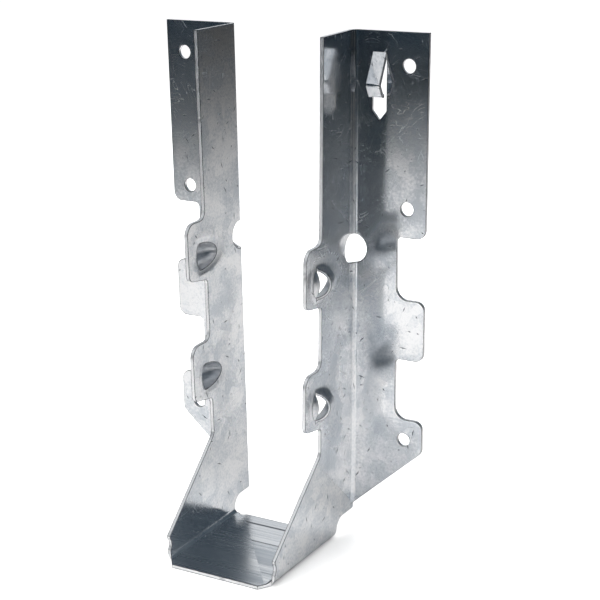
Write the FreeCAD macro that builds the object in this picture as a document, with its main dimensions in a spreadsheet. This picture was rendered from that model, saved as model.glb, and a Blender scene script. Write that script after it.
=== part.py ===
"""Face mount joist hanger, folded from one galvanised sheet.

A U-shaped stirrup holds the end of a joist. Its seat carries the joist, and its two side walls end in
flanges that are turned outwards and nailed to the header. X runs across the joist, Y along it towards the
header, and Z up. All sizes are millimetres, and the model is built from the front edge of the seat.
"""

import FreeCAD, Part
import os
import Sketcher

# The driving dimensions. Heights are measured from the underside of the seat, and depths from front to back.
SIZES = {
    # the folded sheet
    "sheet_thickness": 1.2,
    "inner_width": 39.7,
    "hanger_height": 168.3,
    "overall_depth": 56.1,
    "seat_depth": 44.0,
    "flange_span": 93.0,
    "bend_radius": 1.6,
    # front edge of each side wall
    "wall_depth": 23.2,
    "tab_reach": 10.4,
    "tab_height": 20.2,
    "tab_pitch": 40.8,
    "tab_top": 104.4,
    "tab_slope": 1.6,
    "tab_stagger": 3.6,
    "tab_shoulder_radius": 4.0,
    "tab_neck_radius": 3.0,
    "tab_toe_radius": 2.2,
    "tab_heel_radius": 1.6,
    "diagonal_top": 34.0,
    "diagonal_foot": 8.6,
    "foot_setback": 4.0,
    "foot_height": 2.9,
    "foot_dip": 0.8,
    "seat_corner_inset": 4.2,
    # outer edge of each flange
    "notch_reach": 9.9,
    "notch_height": 20.6,
    "notch_top": 103.7,
    "notch_lip_radius": 3.0,
    "notch_root_radius": 1.6,
    "notch_sweep_radius": 4.0,
    "flange_foot": 31.5,
    "flange_lip": 8.6,
    # relief where the seat, the wall and the flange meet
    "relief_height": 6.8,
    "relief_radius": 4.4,
    "dimple_radius": 1.5,
    "dimple_inset": 4.6,
    # nail holes to the header, and the punched hole across each flange bend
    "nail_diameter": 4.5,
    "nail_column_span": 79.8,
    "nail_top": 157.9,
    "nail_middle": 113.0,
    "nail_bottom": 35.2,
    "bend_hole_diameter": 9.6,
    "bend_hole_height": 98.4,
    "bend_hole_shift": 1.2,
    # domed guides for the slanted joist nails
    "dome_setback": 6.5,
    "dome_drop": 1.6,
    "dome_half_height": 4.4,
    "dome_rise": 4.9,
    "dome_length": 10.0,
    "dome_sheet": 0.8,
    "dome_rake": 2.2,
    "dome_blend_radius": 1.2,
    "dome_lip_rise": 1.3,
    "dome_lip_length": 2.1,
    # lanced prong that holds the hanger to the header while it is nailed
    "slot_centre": 29.8,
    "slot_width": 5.0,
    "slot_top": 161.8,
    "slot_length": 21.4,
    "slot_point": 3.1,
    "prong_clearance": 0.12,
    "prong_reach": 5.6,
    "prong_drop": 9.8,
    "prong_return": 2.6,
    "prong_return_drop": 3.9,
    "prong_tip_drop": 0.5,
    "prong_tip_setback": 0.4,
    "prong_point": 2.4,
    "prong_bend_radius": 0.5,
    # how far a cut runs past the sheet that it trims
    "cut_margin": 5.0,
}

# Places that are worked out from the driving dimensions.
WALL_OUTSIDE = "(sizes.inner_width / 2 + sizes.sheet_thickness)"
WALL_INSIDE = "(sizes.inner_width / 2)"
FLANGE_EDGE = "(sizes.flange_span / 2)"
FLANGE_FRONT = "(sizes.overall_depth - sizes.sheet_thickness)"
NECK = "(sizes.overall_depth - sizes.wall_depth)"
TAB_FRONT = "(" + NECK + " - sizes.tab_reach)"
NOTCH_ROOT = "(" + FLANGE_EDGE + " - sizes.notch_reach)"
TAB_COUNT = 2
SIDES = {"right": 1, "left": -1}
# a point closer to an edge than this counts as lying on it
ON_EDGE = 0.01

doc = FreeCAD.newDocument("joist_hanger")


def make_sizes():
    """Write the driving dimensions into a spreadsheet, one named cell each."""
    sheet = doc.addObject("Spreadsheet::Sheet", "sizes")
    for row, (name, value) in enumerate(SIZES.items(), start=1):
        sheet.set(f"A{row}", name.replace("_", " "))
        sheet.set(f"B{row}", str(value))
        sheet.setAlias(f"B{row}", name)
    doc.recompute()


def mirrored(expression, side):
    """The same distance on the given side of the middle plane."""
    return expression if side > 0 else f"-({expression})"


def stagger(side):
    """The left wall's tabs, notches and domes stand higher than the right wall's."""
    return "0" if side > 0 else "sizes.tab_stagger"


def tab_top(index, side):
    """Height of the top edge of one tab, counted from the top."""
    return f"(sizes.tab_top - {index} * sizes.tab_pitch + {stagger(side)})"


def notch_top(index, side):
    """Height of the top edge of one flange notch, counted from the top."""
    return f"(sizes.notch_top - {index} * sizes.tab_pitch + {stagger(side)})"


def new_sketch(body, name, role, offset=None):
    """Start a sketch on one of the body's own planes, at an offset along its normal."""
    plane = next(item for item in body.Origin.OriginFeatures if item.Role == role)
    sketch = body.newObject("Sketcher::SketchObject", name)
    sketch.AttachmentSupport = [(plane, "")]
    sketch.MapMode = "FlatFace"
    if offset:
        sketch.setExpression("AttachmentOffset.Base.z", offset)
    return sketch


def value(sketch, expression):
    """The present value of an expression, as a plain number."""
    found = sketch.evalExpression(expression)
    return float(getattr(found, "Value", found))


def pin_point(sketch, edge, end, corner):
    """Hold one end of a sketch edge at a corner that is given by two expressions."""
    for kind, expression in zip(("DistanceX", "DistanceY"), corner):
        place = value(sketch, expression)
        index = sketch.addConstraint(Sketcher.Constraint(kind, -1, 1, edge, end, place))
        sketch.setExpression(f"Constraints[{index}]", expression)


def add_outline(sketch, corners):
    """Draw a closed outline of straight edges through corners that are given as expressions."""
    points = [FreeCAD.Vector(value(sketch, x), value(sketch, y), 0) for x, y in corners]
    first = sketch.GeometryCount
    count = len(points)
    for index, point in enumerate(points):
        sketch.addGeometry(Part.LineSegment(point, points[(index + 1) % count]), False)
    for index, corner in enumerate(corners):
        following = first + (index + 1) % count
        sketch.addConstraint(Sketcher.Constraint("Coincident", first + index, 2, following, 1))
        pin_point(sketch, first + index, 1, corner)


def add_circle(sketch, centre, diameter):
    """Draw a circle whose centre and diameter are given as expressions."""
    middle = FreeCAD.Vector(value(sketch, centre[0]), value(sketch, centre[1]), 0)
    across = value(sketch, diameter)
    circle = sketch.addGeometry(Part.Circle(middle, FreeCAD.Vector(0, 0, 1), across / 2), False)
    pin_point(sketch, circle, 3, centre)
    index = sketch.addConstraint(Sketcher.Constraint("Diameter", circle, across))
    sketch.setExpression(f"Constraints[{index}]", diameter)


def add_strip(sketch, route, thickness):
    """Draw a bent strip of even thickness, and return how many legs it has.

    The front edge follows the route, which is given as expressions, and the back edge lies to its left.
    """
    front = [FreeCAD.Vector(value(sketch, x), value(sketch, y), 0) for x, y in route]
    depth = value(sketch, thickness)
    legs = [(b - a).normalize() for a, b in zip(front, front[1:])]
    sides = [FreeCAD.Vector(-leg.y, leg.x, 0) for leg in legs]
    normals = [sides[0]] + [(a + b) / (1 + a.dot(b)) for a, b in zip(sides, sides[1:])] + [sides[-1]]
    back = [point + normal * depth for point, normal in zip(front, normals)]
    count = len(legs)
    for ends in (front, back):
        for a, b in zip(ends, ends[1:]):
            sketch.addGeometry(Part.LineSegment(a, b), False)
    root = sketch.addGeometry(Part.LineSegment(front[0], back[0]), False)
    tip = sketch.addGeometry(Part.LineSegment(front[-1], back[-1]), False)
    for first in (0, count):
        for index in range(first, first + count - 1):
            sketch.addConstraint(Sketcher.Constraint("Coincident", index, 2, index + 1, 1))
    for cap, end, index in ((root, 1, 0), (tip, 2, count - 1)):
        sketch.addConstraint(Sketcher.Constraint("Coincident", cap, 1, index, end))
        sketch.addConstraint(Sketcher.Constraint("Coincident", cap, 2, index + count, end))
        sketch.addConstraint(Sketcher.Constraint("Perpendicular", cap, index))
    for index, corner in enumerate(route[:-1]):
        pin_point(sketch, index, 1, corner)
    pin_point(sketch, count - 1, 2, route[-1])
    for index in range(count):
        sketch.addConstraint(Sketcher.Constraint("Parallel", index, index + count))
        held = sketch.addConstraint(Sketcher.Constraint("Distance", index + count, 1, index, depth))
        sketch.setExpression(f"Constraints[{held}]", thickness)
    return count


def volume_of(body):
    """Volume of the solid so far."""
    return body.Tip.Shape.Volume if body.Tip else 0.0


def pad(body, name, sketch, length, backwards=False, midplane=False):
    """Raise a sketch into material, and see that the solid grew."""
    before = volume_of(body)
    feature = body.newObject("PartDesign::Pad", name)
    feature.Profile = sketch
    feature.setExpression("Length", length)
    feature.Reversed = backwards
    feature.Midplane = midplane
    doc.recompute()
    assert volume_of(body) > before, name + " added nothing"
    return feature


def pocket(body, name, sketch, length, backwards=False, midplane=False):
    """Cut a sketch out of the solid, and see that the solid shrank."""
    before = volume_of(body)
    feature = body.newObject("PartDesign::Pocket", name)
    feature.Profile = sketch
    feature.setExpression("Length", length)
    feature.Reversed = backwards
    feature.Midplane = midplane
    doc.recompute()
    assert volume_of(body) < before, name + " cut nothing"
    return feature


def edges_along(shape, axis, places):
    """Names of the straight edges that run along an axis through one of the given places.

    Each place is a point, with None for a value that may be anything.
    """
    names = []
    for number, edge in enumerate(shape.Edges, start=1):
        box = edge.BoundBox
        lows, highs = (box.XMin, box.YMin, box.ZMin), (box.XMax, box.YMax, box.ZMax)
        if any(highs[i] - lows[i] > ON_EDGE for i in range(3) if i != axis):
            continue
        for place in places:
            spans = zip(lows, place, highs)
            if all(at is None or low - ON_EDGE < at < high + ON_EDGE for low, at, high in spans):
                names.append(f"Edge{number}")
                break
    return names


def fillet(body, name, radius, edges):
    """Round the named edges of the solid."""
    feature = body.newObject("PartDesign::Fillet", name)
    feature.Base = (feature.BaseFeature, edges)
    feature.setExpression("Radius", radius)
    doc.recompute()
    return feature


def fillet_corners(body, name, radius, axis, places):
    """Round the straight edges that run along an axis through places given as expressions."""
    sheet = doc.getObject("sizes")
    wanted = [[None if item is None else value(sheet, item) for item in place] for place in places]
    edges = edges_along(body.Tip.Shape, axis, wanted)
    assert len(edges) == len(wanted), f"{name} found {len(edges)} of {len(wanted)} edges"
    return fillet(body, name, radius, edges)


def make_stirrup(body):
    """Fold the seat and the two side walls as one deep channel, with rounded lower bends."""
    sketch = new_sketch(body, "stirrup_section", "XZ_Plane")
    left_out, left_in = f"-{WALL_OUTSIDE}", f"-{WALL_INSIDE}"
    add_outline(sketch, [
        (left_out, "sizes.hanger_height"),
        (left_out, "0"),
        (WALL_OUTSIDE, "0"),
        (WALL_OUTSIDE, "sizes.hanger_height"),
        (WALL_INSIDE, "sizes.hanger_height"),
        (WALL_INSIDE, "sizes.sheet_thickness"),
        (left_in, "sizes.sheet_thickness"),
        (left_in, "sizes.hanger_height"),
    ])
    pad(body, "stirrup", sketch, "sizes.overall_depth", backwards=True)
    inner = [(mirrored(WALL_INSIDE, side), None, "sizes.sheet_thickness") for side in SIDES.values()]
    outer = [(mirrored(WALL_OUTSIDE, side), None, "0") for side in SIDES.values()]
    fillet_corners(body, "seat_bend_inside", "sizes.bend_radius", 1, inner)
    fillet_corners(body, "seat_bend_outside", "sizes.bend_radius + sizes.sheet_thickness", 1, outer)


def make_relief(body):
    """Cut away the sheet behind the seat, where it would bind the flange bends."""
    sketch = new_sketch(body, "relief_outline", "YZ_Plane")
    far = "sizes.overall_depth + sizes.cut_margin"
    add_outline(sketch, [
        ("sizes.seat_depth", "-sizes.cut_margin"),
        (far, "-sizes.cut_margin"),
        (far, "sizes.relief_height"),
        ("sizes.seat_depth", "sizes.relief_height"),
    ])
    pocket(body, "relief", sketch, f"2 * {WALL_OUTSIDE} + sizes.cut_margin", midplane=True)
    corners = [
        (mirrored(WALL_OUTSIDE, side), "sizes.seat_depth", "sizes.relief_height") for side in SIDES.values()
    ]
    fillet_corners(body, "relief_corner", "sizes.relief_radius", 0, corners)


def make_flanges(body):
    """Turn the rear edge of each wall outwards into a flange."""
    sketch = new_sketch(body, "flange_section", "XY_Plane", "sizes.relief_height")
    for side in SIDES.values():
        inner, outer = mirrored(WALL_INSIDE, side), mirrored(FLANGE_EDGE, side)
        add_outline(sketch, [
            (inner, FLANGE_FRONT),
            (outer, FLANGE_FRONT),
            (outer, "sizes.overall_depth"),
            (inner, "sizes.overall_depth"),
        ])
    pad(body, "flanges", sketch, "sizes.hanger_height - sizes.relief_height")
    front = [(mirrored(WALL_OUTSIDE, side), FLANGE_FRONT, None) for side in SIDES.values()]
    back = [(mirrored(WALL_INSIDE, side), "sizes.overall_depth", None) for side in SIDES.values()]
    fillet_corners(body, "flange_bend_front", "sizes.bend_radius", 2, front)
    fillet_corners(body, "flange_bend_back", "sizes.bend_radius + sizes.sheet_thickness", 2, back)


def cut_wall_front(body, name, side):
    """Trim the front edge of one wall to its tabs, its necks and the long diagonal above the seat."""
    before = "-sizes.cut_margin"
    above = "sizes.hanger_height + sizes.cut_margin"
    corners = [(before, above), (NECK, above)]
    for index in range(TAB_COUNT):
        top = tab_top(index, side)
        corners += [
            (NECK, top),
            (TAB_FRONT, top),
            (TAB_FRONT, f"{top} - sizes.tab_height + sizes.tab_slope"),
            (NECK, f"{top} - sizes.tab_height"),
        ]
    corners += [
        (NECK, "sizes.diagonal_top"),
        ("sizes.foot_setback", "sizes.diagonal_foot"),
        ("sizes.foot_setback", "sizes.foot_height"),
        (before, "sizes.foot_height"),
    ]
    sketch = new_sketch(body, f"wall_front_outline_{name}", "YZ_Plane")
    add_outline(sketch, corners)
    pocket(body, f"wall_front_{name}", sketch, f"{WALL_OUTSIDE} + sizes.cut_margin", backwards=side > 0)


def wall_corners(kind):
    """The corners of one kind on both walls: the shoulder, the neck, the toe or the heel of each tab."""
    depth = {"shoulder": TAB_FRONT, "neck": NECK, "toe": TAB_FRONT, "heel": NECK}[kind]
    drop = {
        "shoulder": "0",
        "neck": "0",
        "toe": "sizes.tab_height - sizes.tab_slope",
        "heel": "sizes.tab_height",
    }[kind]
    return [
        (mirrored(WALL_OUTSIDE, side), depth, f"{tab_top(index, side)} - ({drop})")
        for side in SIDES.values()
        for index in range(TAB_COUNT)
    ]


def round_wall_front(body):
    """Round the corners of the tabs and ease the ends of the diagonal."""
    for kind in ("shoulder", "neck", "toe", "heel"):
        fillet_corners(body, f"tab_{kind}", f"sizes.tab_{kind}_radius", 0, wall_corners(kind))
    ends = [
        (mirrored(WALL_OUTSIDE, side), NECK, "sizes.diagonal_top") for side in SIDES.values()
    ]
    fillet_corners(body, "diagonal_ends", "sizes.tab_neck_radius", 0, ends)


def cut_seat_corners(body):
    """Clip the front corners of the seat through the bends, and dip the wall above each of them."""
    sketch = new_sketch(body, "seat_corner_outline", "XY_Plane", "-sizes.cut_margin")
    for side in SIDES.values():
        start = mirrored(f"({WALL_OUTSIDE} - sizes.seat_corner_inset)", side)
        wall = mirrored(WALL_INSIDE, side)
        past = mirrored(f"({WALL_OUTSIDE} + sizes.cut_margin)", side)
        add_outline(sketch, [
            (start, "0"),
            (wall, "sizes.foot_setback"),
            (past, "sizes.foot_setback"),
            (past, "-sizes.cut_margin"),
            (start, "-sizes.cut_margin"),
        ])
    pocket(body, "seat_corners", sketch, "sizes.cut_margin + sizes.foot_height", backwards=True)
    sketch = new_sketch(body, "foot_dip_outline", "YZ_Plane")
    height = "(sizes.diagonal_foot + sizes.foot_height) / 2"
    radius = "((sizes.diagonal_foot - sizes.foot_height) / 2)"
    centre = (f"sizes.foot_setback + sizes.foot_dip - {radius}", height)
    add_circle(sketch, centre, f"2 * {radius}")
    pocket(body, "foot_dips", sketch, f"2 * {WALL_OUTSIDE} + sizes.cut_margin", midplane=True)


def cut_seat_rear(body):
    """Punch the small dimple beside each bend in the rear edge of the seat."""
    sketch = new_sketch(body, "dimple_outline", "XY_Plane", "-sizes.cut_margin")
    for side in SIDES.values():
        place = mirrored(f"({WALL_OUTSIDE} - sizes.dimple_inset)", side)
        add_circle(sketch, (place, "sizes.seat_depth + sizes.dimple_radius / 3"), "2 * sizes.dimple_radius")
    pocket(body, "dimples", sketch, "sizes.cut_margin + 2 * sizes.sheet_thickness", backwards=True)


def cut_flange_edge(body, name, side):
    """Cut the notches in one flange's outer edge, and its diagonal lower edge."""
    past = mirrored(f"({FLANGE_EDGE} + sizes.cut_margin)", side)
    root = mirrored(NOTCH_ROOT, side)
    sketch = new_sketch(body, f"flange_edge_outline_{name}", "XZ_Plane")
    for index in range(TAB_COUNT):
        top = notch_top(index, side)
        bottom = f"{top} - sizes.notch_height"
        add_outline(sketch, [(past, top), (root, top), (root, bottom), (past, bottom)])
    edge = mirrored(FLANGE_EDGE, side)
    bend = mirrored(WALL_OUTSIDE, side)
    add_outline(sketch, [
        (past, "sizes.flange_foot"),
        (edge, "sizes.flange_foot"),
        (bend, "sizes.flange_lip"),
        (bend, "-sizes.cut_margin"),
        (past, "-sizes.cut_margin"),
    ])
    pocket(body, f"flange_edge_{name}", sketch, "sizes.overall_depth + sizes.cut_margin")


def round_flange_edge(body):
    """Round the corners of the notches and of the flange's foot."""
    lips, roots, sweeps = [], [], []
    for side in SIDES.values():
        edge, root = mirrored(FLANGE_EDGE, side), mirrored(NOTCH_ROOT, side)
        for index in range(TAB_COUNT):
            top = notch_top(index, side)
            bottom = f"{top} - sizes.notch_height"
            lips += [(edge, None, top), (edge, None, bottom)]
            roots += [(root, None, top)]
            sweeps += [(root, None, bottom)]
        lips += [(edge, None, "sizes.flange_foot")]
    fillet_corners(body, "notch_lips", "sizes.notch_lip_radius", 1, lips)
    fillet_corners(body, "notch_roots", "sizes.notch_root_radius", 1, roots)
    fillet_corners(body, "notch_sweeps", "sizes.notch_sweep_radius", 1, sweeps)


def cut_nail_holes(body):
    """Punch the three header nail holes in each flange."""
    sketch = new_sketch(body, "nail_hole_places", "XZ_Plane")
    for side in SIDES.values():
        column = mirrored("sizes.nail_column_span / 2", side)
        for height in ("sizes.nail_top", "sizes.nail_middle", "sizes.nail_bottom"):
            add_circle(sketch, (column, height), "sizes.nail_diameter")
    pocket(body, "nail_holes", sketch, "sizes.overall_depth + sizes.cut_margin")


def cut_bend_holes(body):
    """Punch the large hole that lies across each flange bend, partly in the wall and partly in the flange."""
    height, across = "sizes.bend_hole_height", "sizes.bend_hole_diameter"
    sketch = new_sketch(body, "bend_hole_in_wall", "YZ_Plane")
    add_circle(sketch, (f"{FLANGE_FRONT} - sizes.bend_hole_shift", height), across)
    pocket(body, "bend_holes_in_wall", sketch, f"2 * {WALL_OUTSIDE}", midplane=True)
    start = f"({FLANGE_FRONT} - sizes.bend_radius)"
    sketch = new_sketch(body, "bend_hole_in_flange", "XZ_Plane", f"-{start}")
    for side in SIDES.values():
        add_circle(sketch, (mirrored(WALL_OUTSIDE, side), height), across)
    depth = "sizes.bend_radius + sizes.sheet_thickness + sizes.cut_margin"
    pocket(body, "bend_holes_in_flange", sketch, depth)


def add_bulge(body, kind, name, centre, radii, forwards=False):
    """Add or take away half an ellipsoid that lies behind its centre, or in front of it.

    The kind is Additive or Subtractive. The centre and the radii are expressions along X, Y and Z.
    """
    before = volume_of(body)
    feature = body.newObject(f"PartDesign::{kind}Ellipsoid", name)
    feature.Angle3 = 180
    if forwards:
        feature.Placement.Rotation = FreeCAD.Rotation(FreeCAD.Vector(0, 0, 1), 180)
    for setting, radius in zip(("Radius2", "Radius3", "Radius1"), radii):
        feature.setExpression(setting, radius)
    for letter, place in zip("xyz", centre):
        feature.setExpression(f"Placement.Base.{letter}", place)
    doc.recompute()
    change = volume_of(body) - before
    assert change > 0 if kind == "Additive" else change < 0, name + " has no effect"


def make_dome(body, name, side, index):
    """Press one dome out of a tab, slit across near its front, so that a nail can pass it at a slant.

    Behind the slit stands the dome itself, thinner than the sheet because it is stretched. In front of the
    slit the sheet is only drawn out a little, to a shallow lip of the same height.
    """
    height = f"{tab_top(index, side)} - sizes.tab_height / 2 - sizes.dome_drop"
    slit = f"({TAB_FRONT} + sizes.dome_setback)"
    centre = (mirrored(WALL_INSIDE, side), slit, height)
    hollow = ("sizes.dome_rise", "sizes.dome_length", "sizes.dome_half_height")
    ball = "((pow(sizes.dome_half_height; 2) / sizes.dome_lip_rise + sizes.dome_lip_rise) / 2)"
    sunk = f"({WALL_INSIDE} - {ball} + sizes.dome_lip_rise)"
    lip_hollow_centre = (mirrored(sunk, side), slit, height)
    lip_centre = (mirrored(f"({sunk} + sizes.sheet_thickness)", side), slit, height)
    lip = (ball, f"(sizes.dome_lip_length * {ball} / sizes.dome_half_height)", ball)
    add_bulge(body, "Additive", f"dome_{name}", centre, [f"{size} + sizes.dome_sheet" for size in hollow])
    blend_dome(body, name, side, value(doc.getObject("sizes"), height))
    add_bulge(body, "Additive", f"dome_lip_{name}", lip_centre, lip, forwards=True)
    add_bulge(body, "Subtractive", f"dome_hollow_{name}", centre, hollow)
    add_bulge(body, "Subtractive", f"dome_lip_hollow_{name}", lip_hollow_centre, lip, forwards=True)


def blend_dome(body, name, side, height):
    """Blend the foot of a dome into the outer face of its wall."""
    sheet = doc.getObject("sizes")
    plane = value(sheet, mirrored(WALL_OUTSIDE, side))
    lip = value(sheet, f"{TAB_FRONT} + sizes.dome_setback")
    reach = value(sheet, "sizes.dome_half_height + sizes.sheet_thickness")
    names = []
    for number, edge in enumerate(body.Tip.Shape.Edges, start=1):
        box = edge.BoundBox
        on_wall = box.XLength < ON_EDGE and abs(box.XMin - plane) < ON_EDGE
        around = abs(box.Center.z - height) < reach and box.YMin > lip - ON_EDGE and box.YLength > reach
        if on_wall and around and box.ZLength < 2 * reach:
            names.append(f"Edge{number}")
    assert names, name + " dome has no foot on the wall"
    fillet(body, f"dome_blend_{name}", "sizes.dome_blend_radius", names)


def rake_domes(body):
    """Trim the open front of every dome back, so that its crown stands behind its slit."""
    low, high = tab_top(TAB_COUNT, 1), f"{tab_top(0, -1)} + sizes.cut_margin"
    lip = f"({TAB_FRONT} + sizes.dome_setback)"
    past = f"({WALL_INSIDE} + 2 * sizes.dome_rise)"
    slope = "(sizes.dome_rake / sizes.dome_rise)"
    sketch = new_sketch(body, "dome_rake_outline", "XY_Plane", low)
    for side in SIDES.values():
        near, far = mirrored(WALL_OUTSIDE, side), mirrored(past, side)
        add_outline(sketch, [(near, lip), (far, f"{lip} + {slope} * ({past} - {WALL_OUTSIDE})"), (far, lip)])
    pocket(body, "dome_rake", sketch, f"{high} - {low}", backwards=True)


def clear_joist_space(body):
    """Trim the roots of the domes flush with the inner faces of the walls."""
    sketch = new_sketch(body, "joist_space_outline", "YZ_Plane")
    low, high = tab_top(TAB_COUNT, 1), f"{tab_top(0, -1)} + sizes.cut_margin"
    add_outline(sketch, [(TAB_FRONT, low), (FLANGE_FRONT, low), (FLANGE_FRONT, high), (TAB_FRONT, high)])
    pocket(body, "joist_space", sketch, "sizes.inner_width", midplane=True)


def cut_slots(body):
    """Lance a slot with a pointed lower end near the top of each flange."""
    sketch = new_sketch(body, "slot_outline", "XZ_Plane")
    bottom = "(sizes.slot_top - sizes.slot_length)"
    for side in SIDES.values():
        near = mirrored("(sizes.slot_centre - sizes.slot_width / 2)", side)
        far = mirrored("(sizes.slot_centre + sizes.slot_width / 2)", side)
        add_outline(sketch, [
            (near, "sizes.slot_top"),
            (far, "sizes.slot_top"),
            (far, f"{bottom} + sizes.slot_point"),
            (mirrored("sizes.slot_centre", side), bottom),
            (near, f"{bottom} + sizes.slot_point"),
        ])
    pocket(body, "slots", sketch, "sizes.overall_depth + sizes.cut_margin")


def make_prong(body, name, side):
    """Lean the lanced strip out of its slot, fold it back and point its tip at the header."""
    width = "(sizes.slot_width - 2 * sizes.prong_clearance)"
    shift = f"({mirrored('sizes.slot_centre', side)} - {width} / 2)"
    fold = f"({FLANGE_FRONT} - sizes.prong_reach)"
    fold_height = "(sizes.slot_top - sizes.prong_drop)"
    elbow = f"({fold} + sizes.prong_return)"
    elbow_height = f"({fold_height} - sizes.prong_return_drop)"
    tip = "(sizes.overall_depth - sizes.prong_tip_setback)"
    route = [
        (FLANGE_FRONT, "sizes.slot_top + sizes.sheet_thickness"),
        (FLANGE_FRONT, "sizes.slot_top"),
        (fold, fold_height),
        (elbow, elbow_height),
        (tip, f"{elbow_height} - sizes.prong_tip_drop"),
    ]
    sketch = new_sketch(body, f"prong_section_{name}", "YZ_Plane", shift)
    legs = add_strip(sketch, route, "sizes.sheet_thickness")
    pad(body, f"prong_{name}", sketch, width)
    middle = value(sketch, mirrored("sizes.slot_centre", side))
    outer, inner = "sizes.prong_bend_radius + sizes.sheet_thickness", "sizes.prong_bend_radius"
    for kind, first, radius in (("outer", 2, outer), ("inner", 2 + legs, inner)):
        bends = [sketch.getPoint(index, 1) for index in (first, first + 1)]
        edges = edges_along(body.Tip.Shape, 0, [(middle, bend.x, bend.y) for bend in bends])
        assert len(edges) == len(bends), f"{name} prong's {kind} bends weren't found"
        fillet(body, f"prong_bends_{kind}_{name}", radius, edges)
    return tip, elbow_height


def point_prongs(body, tip, height):
    """Cut the tip of each prong to a point."""
    sketch = new_sketch(body, "prong_point_outline", "XY_Plane", f"{height} - 2 * sizes.sheet_thickness")
    start = f"{tip} - sizes.prong_point"
    past = f"{tip} + sizes.sheet_thickness"
    for side in SIDES.values():
        middle = mirrored("sizes.slot_centre", side)
        for way in (1, -1):
            edge = f"{middle} + {way} * sizes.slot_width / 2"
            add_outline(sketch, [(edge, start), (middle, tip), (middle, past), (edge, past)])
    pocket(body, "prong_points", sketch, "4 * sizes.sheet_thickness", backwards=True)


def report_faults():
    """Names of the document's objects that failed to build."""
    return [item.Name for item in doc.Objects if {"Invalid", "Error"} & set(item.State)]


make_sizes()
hanger = doc.addObject("PartDesign::Body", "joist_hanger")
hanger.Label = "joist_hanger"
make_stirrup(hanger)
make_relief(hanger)
make_flanges(hanger)
for side_name, side_sign in SIDES.items():
    cut_wall_front(hanger, side_name, side_sign)
    cut_flange_edge(hanger, side_name, side_sign)
round_wall_front(hanger)
round_flange_edge(hanger)
cut_seat_corners(hanger)
cut_seat_rear(hanger)
cut_nail_holes(hanger)
cut_bend_holes(hanger)
for side_name, side_sign in SIDES.items():
    for dome in range(TAB_COUNT):
        make_dome(hanger, f"{side_name}_{dome}", side_sign, dome)
rake_domes(hanger)
clear_joist_space(hanger)
cut_slots(hanger)
for side_name, side_sign in SIDES.items():
    prong_tip, prong_height = make_prong(hanger, side_name, side_sign)
point_prongs(hanger, prong_tip, prong_height)

# The hanger stands on its seat, with the origin below the middle of its depth.
hanger.setExpression("Placement.Base.y", "-sizes.overall_depth / 2")
doc.recompute()

faults = report_faults()
assert not faults, f"these failed to build: {faults}"
shape = hanger.Shape
assert not shape.isNull() and shape.isValid(), "the hanger's shape isn't valid"
assert len(shape.Solids) == 1, "the hanger isn't one solid"
os.makedirs("parts", exist_ok=True)
shape.exportStep(os.path.join("parts", hanger.Label + ".step"))
box = shape.BoundBox
print("size", round(box.XLength, 2), round(box.YLength, 2), round(box.ZLength, 2))
print("volume", round(shape.Volume, 1), "centre of mass", shape.Solids[0].CenterOfMass)
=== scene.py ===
"""Looks of a galvanised joist hanger, on a pale floor in a small photo studio.

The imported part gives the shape. One piece stands for it: the same folded sheet, its walls sprung apart a little as a
folded sheet's are, with a galvanised finish on its faces and a sheared finish on its cut edges.
"""

import logging
import math
from dataclasses import dataclass, field
from enum import Enum
from typing import Any

import bpy
from mathutils import Matrix, Vector


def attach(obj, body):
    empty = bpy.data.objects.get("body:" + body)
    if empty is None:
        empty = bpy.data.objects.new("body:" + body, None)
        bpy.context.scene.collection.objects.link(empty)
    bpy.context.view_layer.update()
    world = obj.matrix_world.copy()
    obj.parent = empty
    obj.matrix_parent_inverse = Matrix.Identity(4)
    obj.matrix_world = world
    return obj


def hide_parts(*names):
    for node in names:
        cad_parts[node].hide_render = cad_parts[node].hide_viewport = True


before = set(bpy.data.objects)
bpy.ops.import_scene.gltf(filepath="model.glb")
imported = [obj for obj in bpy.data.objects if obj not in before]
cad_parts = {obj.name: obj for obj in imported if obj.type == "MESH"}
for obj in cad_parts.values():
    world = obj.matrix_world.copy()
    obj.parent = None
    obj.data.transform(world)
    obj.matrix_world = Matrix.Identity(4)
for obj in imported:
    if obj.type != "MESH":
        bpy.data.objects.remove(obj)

MILLIMETRE = 0.001
IMAGE_SIZE = 600
SENSOR_WIDTH = 36.0
BLANK_MAP = "blank"
PRESSED_LAYER = "pressed"
WHITE = (1.0, 1.0, 1.0, 1.0)

Colour = tuple[float, float, float, float]
Point = tuple[float, float, float]
Span = tuple[float, float]
Socket = bpy.types.NodeSocket

log = logging.getLogger("joist_hanger")


class Slot(Enum):
    """Material slots of the hanger's piece."""

    FACE = 0
    EDGE = 1


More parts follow.
